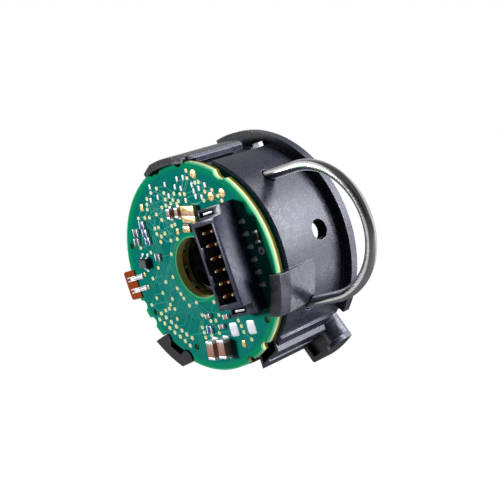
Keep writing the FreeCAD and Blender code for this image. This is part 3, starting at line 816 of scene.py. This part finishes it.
class ENCODER_OT_coil_ends(EncoderPiece, bpy.types.Operator):
    """Coil ends and solder round the hole of the inner board"""
    bl_idname = "encoder.coil_ends"
    bl_label = "Coil ends"

    def execute(self, context):
        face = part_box("stator_board")[0].y / MM
        reach = 5.85
        soft = 0.15
        bm = bmesh.new()
        for angle, slot, width, length, height in (
            (142.0, 1, 0.45, 0.9, 0.4), (161.0, 0, 0.55, 2.0, 0.35), (176.0, 1, 0.3, 0.5, 0.3),
            (194.0, 0, 0.55, 1.5, 0.35), (207.0, 1, 0.45, 0.9, 0.4), (225.0, 0, 0.55, 1.5, 0.35),
            (20.0, 0, 0.55, 1.6, 0.35), (60.0, 1, 0.45, 0.8, 0.4), (100.0, 0, 0.55, 1.6, 0.35),
            (300.0, 0, 0.55, 1.6, 0.35), (330.0, 1, 0.45, 0.8, 0.4),
        ):
            turn = math.radians(angle)
            spot = Spot(reach * math.cos(turn), reach * math.sin(turn), angle, face)
            block(bm, spot, width, length, low=0.0, high=height, corner=soft, edge=soft, slot=slot)
        piece("coil_ends", bm, [copper_winding, tin_solder], "tin")
        return {"FINISHED"}


class ENCODER_OT_tracks(EncoderPiece, bpy.types.Operator):
    """Copper tracks under the solder mask of the round board"""
    bl_idname = "encoder.tracks"
    bl_label = "Tracks"

    def execute(self, context):
        levels = 12
        level_step = 0.002
        bm = bmesh.new()
        for i, line in enumerate(self.bundles() + self.links()):
            strip(bm, line, size("track_width"), size("track_height") + level_step * (i % levels))
        piece("board_tracks", bm, [masked_copper], "solder_mask")
        return {"FINISHED"}

    def bundles(self):
        """Bundles of parallel tracks, from (x, z) corners moved sideways, and arcs round the hole."""
        lines = []
        for corners, count, pitch in (
            (((-7.2, 6.4), (-7.2, -1.0), (-4.8, -4.6), (-2.2, -7.2)), 6, -0.42),
            (((-11.2, 1.2), (-10.4, -4.4), (-7.6, -7.4)), 4, 0.45),
            (((-3.4, -8.4), (-5.4, -10.6), (-5.6, -14.0)), 3, 0.42),
            (((-6.6, 12.0), (-4.2, 9.0), (-4.2, 6.0)), 4, 0.4),
            (((5.4, -7.4), (5.6, -14.6)), 3, 0.45),
        ):
            for i in range(count):
                lines.append([(x + i * pitch, z + i * pitch * 0.5) for x, z in corners])
        for radius in (5.75, 6.1, 6.45):
            lines.append([(radius * math.cos(math.radians(a)), radius * math.sin(math.radians(a)))
                          for a in range(112, 252, 10)])
        return lines

    def links(self):
        """Tracks between vias that lie near each other, with bends at half right angles."""
        nearest, farthest, shortest_run = 1.2, 6.0, 0.2
        inside, outside = 5.4, BOARD_RADIUS - 1.1
        chance = random.Random(bpy.context.scene.encoder_sizes.track_seed)
        places = [seen_at(pixel) for pixel in VIA_PIXELS + ROW_VIA_PIXELS]
        lines = []
        for x, z in places:
            near = [p for p in places if nearest < math.dist(p, (x, z)) < farthest]
            for other in chance.sample(near, min(2, len(near))):
                dx = other[0] - x
                dz = other[1] - z
                run = min(abs(dx), abs(dz))
                bend = (x + math.copysign(run, dx), z + math.copysign(run, dz))
                line = [(x, z), bend, other]
                if all(inside < math.hypot(*p) < outside for p in line) and run > shortest_run:
                    lines.append(line)
        return lines


class ENCODER_OT_vias(EncoderPiece, bpy.types.Operator):
    """Plated holes of the round board"""
    bl_idname = "encoder.vias"
    bl_label = "Plated holes"

    def execute(self, context):
        bm = bmesh.new()
        for pixels, share in ((VIA_PIXELS, 1.0), (ROW_VIA_PIXELS, 1.15)):
            outer = size("via_radius") * share
            for pixel in pixels:
                plated_ring(bm, Spot(*seen_at(pixel)), outer, size("via_bore"), size("via_height"))
        piece("board_vias", bm, [via_plating, gold_plating], "gold")
        return {"FINISHED"}


class ENCODER_OT_pads(EncoderPiece, bpy.types.Operator):
    """Bare solder pads and test pads of the round board"""
    bl_idname = "encoder.pads"
    bl_label = "Pads"

    def execute(self, context):
        height = size("pad_height")
        bm = bmesh.new()
        for pixel in PAD_PIXELS:
            solder_pad(bm, Spot(*seen_at(pixel), COMPONENT_TILT), width=0.5, length=0.85, height=height)
        for x, z in ((3.65, -10.9), (7.7, -11.05)):
            solder_pad(bm, Spot(x, z, turn=-3.0), width=1.85, length=2.25, height=height)
        piece("solder_pads", bm, [tin_solder], "tin")
        bm = bmesh.new()
        for x, z in ((6.0, 14.2), (8.3, 10.0), (10.9, 10.0)):
            self.test_pad(bm, Spot(x, z, turn=-15.0), radius=0.72)
        for x, z, turn, width, length in (
            (-8.7, 11.9, COMPONENT_TILT, 0.9, 1.2), (4.8, -13.4, COMPONENT_TILT, 0.85, 1.15),
            (-1.9, 6.4, COMPONENT_TILT, 0.75, 1.05), (-13.6, 1.2, 0.0, 0.55, 0.75),
            (-13.8, -1.0, 0.0, 0.55, 0.75),
        ):
            solder_pad(bm, Spot(x, z, turn), width, length, height)
        plated_ring(bm, Spot(15.3, 0.0), outer=0.62, bore=0.3, height=0.22, slot=1, dark=2)
        piece("test_pads", bm, [gold_plating, tin_solder, chip_moulding], "gold")
        return {"FINISHED"}

    def test_pad(self, bm, spot, radius):
        """Round pad with the dent that a test probe leaves across it."""
        layers = ((1.0, SUNK), (1.0, 0.04), (0.9, 0.08), (0.5, 0.09))
        stack(bm, spot, [(ring(radius * share), height) for share, height in layers])
        block(bm, spot, radius * 1.2, 0.16, low=0.05, high=0.1, corner=0.06, edge=0.03, slot=2)


class ENCODER_OT_header(EncoderPiece, bpy.types.Operator):
    """Shroud of the pin header with softened edges, painted shade in its slots, its lips and a painted shadow
    on its rim
    """
    bl_idname = "encoder.header"
    bl_label = "Header shroud"

    def execute(self, context):
        placed("shroud", eased_copy("header_shroud", 0.05), [header_plastic], "stator", "header_plastic",
               "header_shroud")
        low, high = (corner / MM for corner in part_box("header_shroud"))
        top = BOARD_FRONT - low.y
        blades = solids_of("header_hold_downs")
        room_across, room_along, stand = 1.4, 0.42, 0.25
        # Painted shade: near-black floors raised high in the slots hide their depth.
        bm = bmesh.new()
        for x, z, width, length, height in blades:
            block(bm, Spot(x, z), width + room_across, length + room_along, low=0.0, high=height - stand,
                  corner=0.02, edge=0.02)
        piece("slot_floors", bm, [slot_black], "header_plastic")
        bm = bmesh.new()
        for x, z, width, length, height in blades:
            block(bm, Spot(low.x + 0.2, z), width=0.36, length=length + 0.44, low=0.0, high=height + 0.09,
                  corner=0.02, edge=0.04)
        block(bm, Spot(high.x - 0.74, 0.0), width=0.42, length=12.38, low=top - 0.6, high=top - 0.005,
              corner=0.02, edge=0.04)
        piece("shroud_lips", bm, [header_plastic], "header_plastic")
        bm = bmesh.new()
        # Painted shadow: a thin dark blue strip laid on the rim.
        block(bm, Spot(high.x - 0.17, 0.0), width=0.28, length=13.6, low=top - 0.3, high=top + 0.015,
              corner=0.03, edge=0.02)
        piece("rim_line", bm, [rim_shadow], "header_plastic")
        return {"FINISHED"}


class ENCODER_OT_pins(EncoderPiece, bpy.types.Operator):
    """Contact pins with tapered tips and soldered tails, and the two hold-down blades"""
    bl_idname = "encoder.pins"
    bl_label = "Header pins"

    def execute(self, context):
        middle = (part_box("header_shroud")[0].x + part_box("header_shroud")[1].x) / 2 / MM
        reach = (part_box("header_pins")[1].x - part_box("header_pins")[0].x) / 2 / MM
        top = BOARD_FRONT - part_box("header_pins")[0].y / MM
        tail_start, tail_width, tail_height = 1.25, 0.48, 0.3
        post = [(rounded_rectangle(width, width, corner, 2), height) for width, corner, height in (
            (0.5, 0.05, 0.0), (0.5, 0.05, top - size("pin_tip")), (0.34, 0.06, top - 0.12), (0.2, 0.05, top))]
        bm = bmesh.new()
        for side in (-1, 1):
            for row in range(PINS_PER_ROW):
                z = PIN_PITCH * (row - (PINS_PER_ROW - 1) / 2)
                stack(bm, Spot(middle + side * PIN_PITCH / 2, z), post)
                tail = Spot(middle + side * (tail_start + reach) / 2, z)
                block(bm, tail, reach - tail_start, tail_width, low=0.0, high=tail_height, corner=0.03,
                      edge=0.08, slot=1)
                foot = Spot(middle + side * (reach - 0.1), z)
                solder_pad(bm, foot, width=0.9, length=0.8, height=0.16, slot=1)
        piece("contact_pins", bm, [pin_gold, tin_solder], "gold", "header_pins")
        bm = bmesh.new()
        for x, z, width, length, height in solids_of("header_hold_downs"):
            block(bm, Spot(x, z), width, length, low=0.0, high=height, corner=0.1, edge=0.1)
        piece("hold_down_blades", bm, [tin_solder], "tin", "header_hold_downs")
        return {"FINISHED"}


class ENCODER_OT_link(EncoderPiece, bpy.types.Operator):
    """Flexible link round the board's edge and its two tinned leads"""
    bl_idname = "encoder.link"
    bl_label = "Flexible link"

    def execute(self, context):
        self.film()
        self.leads()
        return {"FINISHED"}

    def film(self):
        """Film that turns round the edge, narrower where it bends, with softened sides."""
        low, high = (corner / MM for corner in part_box("flex_link"))
        thick, soft, steps = 0.2, 0.07, 48
        waist, waist_reach = 1.15, 0.72
        bend = (high.y - low.y) / 2
        middle = (high.y + low.y) / 2
        left = low.x + bend
        upper = -BOARD_RADIUS + 1.05
        path = [((upper, low.y), (0.0, -1.0)), (((upper + left) / 2, low.y), (0.0, -1.0))]
        for step in range(steps + 1):
            angle = math.radians(-90.0 - 180.0 * step / steps)
            out = (math.cos(angle), math.sin(angle))
            path.append(((left + bend * out[0], middle + bend * out[1]), out))
        path += [(((high.x + left) / 2, high.y), (0.0, 1.0)), ((high.x, high.y), (0.0, 1.0))]
        rows = []
        for (x, y), (nx, ny) in path:
            near = min(1.0, max(0.0, (left - x) / bend) / waist_reach)
            half = high.z - waist * (1 - math.sqrt(1 - near ** 2))
            inner = half - soft
            outline = ((-half, soft), (-inner, 0.0), (inner, 0.0), (half, soft), (half, thick - soft),
                       (inner, thick), (-inner, thick), (-half, thick - soft))
            rows.append([Vector((x - nx * depth, y - ny * depth, z)) * MM for z, depth in outline])
        bm = bmesh.new()
        skin(bm, rows)
        piece("link_film", bm, [link_film], "polyimide", "flex_link")

    def leads(self):
        """Leads with a raised rim on each side and a notch at the outer end."""
        low, high = (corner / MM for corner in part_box("flex_leads"))
        step = -BOARD_RADIUS + 1.3
        lead_offset, rim_offset, notch, inset = 1.025, 0.29, 0.7, 0.5
        bm = bmesh.new()
        for z in (-lead_offset, lead_offset):
            for side in (-1, 1):
                self.bar(bm, low.x, step, high.x, z + side * rim_offset, half=0.13, thick=0.25)
            self.bar(bm, low.x + notch, step, high.x - inset, z, half=0.17, thick=0.14)
            solder_pad(bm, Spot(high.x - 0.2, z), width=0.8, length=0.95, height=0.14)
        piece("link_leads", bm, [tin_solder], "tin", "flex_leads")

    def bar(self, bm, start, step, end, z, half, thick):
        """Rounded bar that runs over the film and steps down to the board."""
        film = 0.2
        arch = ((-1.0, 0.0), (-0.9, 0.6), (-0.5, 0.95), (0.0, 1.0), (0.5, 0.95), (0.9, 0.6), (1.0, 0.0))
        rows = []
        for x, lift in ((start, film), (start + 0.1, film), (step - 0.05, film), (step + 0.2, 0.02),
                        (end - 0.1, 0.0), (end, 0.0)):
            taper = 0.75 if x in (start, end) else 1.0
            row = []
            for across, rise in arch:
                y = BOARD_FRONT - lift - rise * thick * taper
                row.append(Vector((x, y, z + across * half * taper)) * MM)
            rows.append(row)
        skin(bm, rows)


class ENCODER_OT_capacitors(EncoderPiece, bpy.types.Operator):
    """Ceramic capacitors with tin caps and solder at their feet"""
    bl_idname = "encoder.capacitors"
    bl_label = "Capacitors"

    def execute(self, context):
        for node, name, cap in (("large_capacitors", "large_capacitor_pair", 0.45),
                                ("ceramic_capacitors", "small_capacitor_pair", 0.38)):
            bm = bmesh.new()
            for solid in solids_of(node, COMPONENT_TILT):
                capped_chip(bm, solid, COMPONENT_TILT, cap, along_z=True)
                x, z, width, length, height = solid
                for side in (-1, 1):
                    spot = Spot(x, z, COMPONENT_TILT).shifted(0, side * (length / 2 + 0.1))
                    solder_pad(bm, spot, width * 0.95, length=0.5, height=0.22, slot=1)
            piece(name, bm, [capacitor_ceramic, tin_solder], "ceramic", node)
        return {"FINISHED"}


class ENCODER_OT_small_parts(EncoderPiece, bpy.types.Operator):
    """Small chips, chip resistors and the status chip"""
    bl_idname = "encoder.small_parts"
    bl_label = "Small parts"

    def execute(self, context):
        bm = bmesh.new()
        for solid in solids_of("small_chips"):
            capped_chip(bm, solid, turn=0.0, cap=0.26, along_z=False)
        piece("chip_parts", bm, [capacitor_ceramic, tin_solder], "ceramic", "small_chips")
        bm = bmesh.new()
        for solid in solids_of("chip_resistors", COMPONENT_TILT):
            x, z = solid[:2]
            dark = x < -11.0 or 2.0 < z < 5.0
            capped_chip(bm, solid, COMPONENT_TILT, cap=0.22, along_z=False, body=2 if dark else 0)
        piece("resistors", bm, [blue_glaze, tin_solder, chip_moulding], "resistor_glaze", "chip_resistors")
        bm = bmesh.new()
        for solid in solids_of("status_chip"):
            capped_chip(bm, solid, turn=0.0, cap=0.4, along_z=True)
        piece("status_part", bm, [chip_moulding, tin_solder], "resistor_glaze", "status_chip")
        return {"FINISHED"}


class ENCODER_OT_filter(EncoderPiece, bpy.types.Operator):
    """Gold-plated filter with a band across it and a solder tab below"""
    bl_idname = "encoder.filter"
    bl_label = "Filter"

    def execute(self, context):
        bm = bmesh.new()
        (x, z, width, length, height), = solids_of("ceramic_filter", COMPONENT_TILT)
        spot = Spot(x, z, COMPONENT_TILT)
        for side, share in ((1, 0.4), (-1, 0.42)):
            part = spot.shifted(0, side * length * (1 - share) / 2)
            block(bm, part, width, length * share, low=0.0, high=height, corner=0.08, edge=0.08)
        for u, v in ((-0.75, -0.95), (0.55, -0.85)):
            self.dot(bm, spot.shifted(u, v), height)
        recess = 0.05
        block(bm, spot, width - 0.06, length * 0.3, low=0.0, high=height - recess, corner=0.05, edge=0.04,
              slot=1)
        tab = Spot(*seen_at(TAB_PIXEL), COMPONENT_TILT)
        tab_height = 0.3
        block(bm, tab, width=1.7, length=1.05, low=0.0, high=tab_height, corner=0.2, edge=0.1)
        self.dot(bm, tab.shifted(0.2, 0.0), tab_height)
        block(bm, tab.shifted(0.1, 0.7), width=1.5, length=0.3, low=0.0, high=tab_height - recess,
              corner=0.1, edge=0.08, slot=1)
        piece("filter_part", bm, [gold_plating, capacitor_ceramic], "gold", "ceramic_filter")
        return {"FINISHED"}

    def dot(self, bm, spot, height):
        """Small mark on a plated face."""
        layers = ((0.16, SUNK), (0.16, 0.01), (0.1, 0.03))
        stack(bm, spot, [(ring(radius, 12), height + rise) for radius, rise in layers], 1)


class ENCODER_OT_transistor(EncoderPiece, bpy.types.Operator):
    """Moulded transistor with three bent leads"""
    bl_idname = "encoder.transistor"
    bl_label = "Transistor"

    def execute(self, context):
        (x, z, width, length, height), = solids_of("transistor", COMPONENT_TILT)
        spot = Spot(x, z, COMPONENT_TILT)
        lead_reach = 0.6
        body = length - 2 * lead_reach
        layers = ((0.16, 0.1), (0.0, 0.45), (0.0, 0.55), (0.2, height - 0.06), (0.3, height))
        bm = bmesh.new()
        stack(bm, spot, [(rounded_rectangle(width - less, body - less, 0.06), rise) for less, rise in layers])
        for u, side in ((-width / 3, 1), (width / 3, 1), (0.0, -1)):
            self.lead(bm, spot, u, side, body / 2)
        piece("transistor_part", bm, [chip_moulding, tin_solder], "chip_black", "transistor")
        return {"FINISHED"}

    def lead(self, bm, spot, u, side, start):
        """Flat lead that leaves the body, bends down and lies on the board."""
        half, thick = 0.2, 0.15
        outline = ((-half, 0.0), (half, 0.0), (half, thick), (-half, thick))
        path = ((-0.1, 0.42), (0.12, 0.42), (0.25, 0.1), (0.35, 0.0), (0.6, 0.0))
        rows = []
        for v, low in path:
            rows.append([spot.at(u + across, side * (start + v), low + rise) for across, rise in outline])
        skin(bm, rows, slot=1)
        solder_pad(bm, spot.shifted(u, side * (start + 0.5)), width=0.55, length=0.5, height=0.08, slot=1)


class ENCODER_OT_chips_below(EncoderPiece, bpy.types.Operator):
    """Chips under the round board"""
    bl_idname = "encoder.chips_below"
    bl_label = "Chips below"

    def execute(self, context):
        dress(chip_moulding, "signal_processor", "line_driver", "memory_chip")
        return {"FINISHED"}


class ENCODER_OT_hub(EncoderPiece, bpy.types.Operator):
    """Turned hub and its grub screws"""
    bl_idname = "encoder.hub"
    bl_label = "Hub"

    def execute(self, context):
        dress(turned_metal, "rotor_hub")
        dress(black_oxide, "hub_set_screws")
        return {"FINISHED"}


class ENCODER_OT_clip(EncoderPiece, bpy.types.Operator):
    """Bent wire clip"""
    bl_idname = "encoder.clip"
    bl_label = "Wire clip"

    def execute(self, context):
        mesh = NODES["wire_clip"].data.copy()
        mesh.materials.clear()
        placed("bent_wire", mesh, [drawn_wire], "clip", "clip_steel", "wire_clip")
        return {"FINISHED"}


class ENCODER_OT_stage(EncoderPiece, bpy.types.Operator):
    """Floor, surroundings, lamps and the photograph's camera"""
    bl_idname = "encoder.stage"
    bl_label = "Stage"

    def execute(self, context):
        stage = context.scene.encoder_stage
        self.floor(stage.floor_drop)
        self.surroundings(context.scene, stage.ambient)
        for name, (power, share, *rest) in LAMPS.items():
            self.lamp(name, getattr(stage, power) * share, *rest)
        cup = [NODES["housing"]]
        wire = [bpy.data.objects["bent_wire"]]
        header = [bpy.data.objects[name] for name in ("shroud", "shroud_lips", "slot_floors", "rim_line")]
        self.link_lamps("not_side", wire + header, "EXCLUDE", "side_lamp")
        self.link_lamps("not_low", wire, "EXCLUDE", "low_lamp")
        self.link_lamps("not_key", cup, "EXCLUDE", "key_lamp")
        self.link_lamps("cup_only", cup, "INCLUDE", "cup_key_lamp", "upper_lamp", "front_lamp", "rear_lamp")
        self.link_lamps("header_only", header, "INCLUDE", "strip_lamp")
        self.camera(context.scene)
        context.scene.view_settings.view_transform = "Standard"
        return {"FINISHED"}

    def floor(self, drop):
        """Wide floor, white for the camera with a soft shade, and bright on two sides in reflections."""
        below = Matrix.Translation((0, 0, -drop))
        bm = bmesh.new()
        bmesh.ops.create_grid(bm, x_segments=8, y_segments=8, size=3.0, matrix=below)
        floor = in_scene("floor", mesh_of("floor", bm))
        grey, shaded = (0.2, 0.2, 0.2), (0.07, 0.07, 0.07)
        f = Finish("pale_floor", grey, roughness=0.9)
        path = f.add("LightPath").outputs
        f.put("Base Color", f.mix(path["Is Camera Ray"], shaded, grey))
        f.put("Emission Color", (1.0, 1.0, 1.0, 1.0))
        seen = f.most(path["Is Camera Ray"], path["Is Transmission Ray"])
        shade = f.span(f.length(f.place), low=0.22, high=0.33, to_low=0.8, to_high=1.0)
        white = f.times(seen, shade)
        heading = f.add("VectorMath", {0: f.place}, operation="NORMALIZE").outputs["Vector"]
        sides = []
        for azimuth, bright in ((-130.0, 0.8), (70.0, 1.0)):
            turn = math.radians(azimuth)
            side = f.along(heading, (math.cos(turn), math.sin(turn), 0.0))
            sides.append(f.span(side, low=0.68, high=0.85, to_low=0.06, to_high=bright))
        f.put("Emission Strength", f.most(white, f.times(path["Is Glossy Ray"], f.most(*sides))))
        floor.data.materials.append(f.material)

    def surroundings(self, scene, ambient):
        """White backdrop for the camera, soft boxes and a dark side in reflections, and ambient light."""
        scene.world = bpy.data.worlds.new("studio")
        tree = Tree(scene.world)
        tree.nodes.clear()
        path = tree.add("LightPath").outputs
        heading = tree.add("TexCoord").outputs["Generated"]
        key_box = tree.span(tree.along(heading, (-0.577, -0.537, 0.616)), low=0.84, high=0.9)
        rear_box = tree.span(tree.along(heading, (0.24, 0.93, -0.28)), low=0.4, high=0.65, to_high=0.85)
        back = tree.span(tree.along(heading, (-0.73, 0.68, 0.0)), low=0.1, high=0.8, to_low=0.1, to_high=0.55)
        dark_side = tree.span(tree.along(heading, (0.49, -0.86, 0.14)), low=0.8, high=0.95, to_low=1.0,
                              to_high=0.05)
        tent = tree.times(tree.most(back, tree.most(key_box, rear_box)), dark_side)
        seen = tree.most(path["Is Camera Ray"], path["Is Transmission Ray"])
        level = tree.most(tree.most(seen, tree.times(path["Is Glossy Ray"], tent)), ambient)
        backdrop = tree.add("Background", {"Color": (1.0, 1.0, 1.0, 1.0), "Strength": level})
        tree.add("OutputWorld", {"Surface": backdrop.outputs[0]})

    def lamp(self, name, power, direction, distance, width, height, tint, roll):
        """Broad lamp that faces the object, turned about its own axis by a roll in degrees."""
        light = bpy.data.lights.new(name, "AREA")
        light.shape = "RECTANGLE"
        light.size, light.size_y = width, height
        light.energy = power
        light.color = tint
        obj = in_scene(name, light)
        place = Vector(direction).normalized() * distance
        obj.location = place + Vector((0.0, -10.0 * MM, 0.0))
        turn = place.to_track_quat("Z", "Y") @ Quaternion((0.0, 0.0, 1.0), math.radians(roll))
        obj.rotation_euler = turn.to_euler()
        obj.visible_camera = False

    def link_lamps(self, name, objects, state, *lamps):
        """Let lamps light only some objects, or all but those."""
        group = bpy.data.collections.new(name)
        for obj in objects:
            group.objects.link(obj)
        for entry in group.collection_objects:
            entry.light_linking.link_state = state
        for lamp in lamps:
            bpy.data.objects[lamp].light_linking.receiver_collection = group

    def camera(self, scene):
        """Camera at the photograph's viewing angle."""
        camera = bpy.data.cameras.new("photo_camera")
        camera.sensor_width = 36.0
        camera.sensor_fit = "HORIZONTAL"
        camera.lens = FOCAL * camera.sensor_width / IMAGE
        camera.clip_start = 0.005
        scene.camera = in_scene("photo_camera", camera)
        axes = Matrix((RIGHT, UP, -AHEAD)).transposed()
        scene.camera.matrix_world = Matrix.Translation(EYE * MM) @ axes.to_4x4()


OPERATORS = (
    ENCODER_OT_cup, ENCODER_OT_boards, ENCODER_OT_coil_ends, ENCODER_OT_tracks, ENCODER_OT_vias,
    ENCODER_OT_pads, ENCODER_OT_header, ENCODER_OT_pins, ENCODER_OT_link, ENCODER_OT_capacitors,
    ENCODER_OT_small_parts, ENCODER_OT_filter, ENCODER_OT_transistor, ENCODER_OT_chips_below,
    ENCODER_OT_hub, ENCODER_OT_clip, ENCODER_OT_stage,
)


class ENCODER_PT_pieces(bpy.types.Panel):
    """Lists the encoder's pieces, sizes and colours"""
    bl_idname = "ENCODER_PT_pieces"
    bl_label = "Encoder"
    bl_space_type = "VIEW_3D"
    bl_region_type = "UI"
    bl_category = "Encoder"

    def draw(self, context):
        column = self.layout.column(align=True)
        for operator in OPERATORS:
            column.operator(operator.bl_idname)
        scene = context.scene
        for group in (scene.encoder_sizes, scene.encoder_colours, scene.encoder_stage):
            box = self.layout.box()
            for name in group.__annotations__:
                box.prop(group, name)


CLASSES = (EncoderSizes, EncoderColours, EncoderStage) + OPERATORS + (ENCODER_PT_pieces,)


def register():
    """Add the classes and the scene's settings."""
    for cls in CLASSES:
        bpy.utils.register_class(cls)
    bpy.types.Scene.encoder_sizes = PointerProperty(type=EncoderSizes)
    bpy.types.Scene.encoder_colours = PointerProperty(type=EncoderColours)
    bpy.types.Scene.encoder_stage = PointerProperty(type=EncoderStage)


def unregister():
    """Take the settings and the classes away."""
    del bpy.types.Scene.encoder_stage
    del bpy.types.Scene.encoder_colours
    del bpy.types.Scene.encoder_sizes
    for cls in reversed(CLASSES):
        bpy.utils.unregister_class(cls)


def main():
    """Build every piece in order."""
    register()
    for operator in OPERATORS:
        getattr(bpy.ops.encoder, operator.bl_idname.split(".")[1])()


if __name__ == "__main__":
    main()
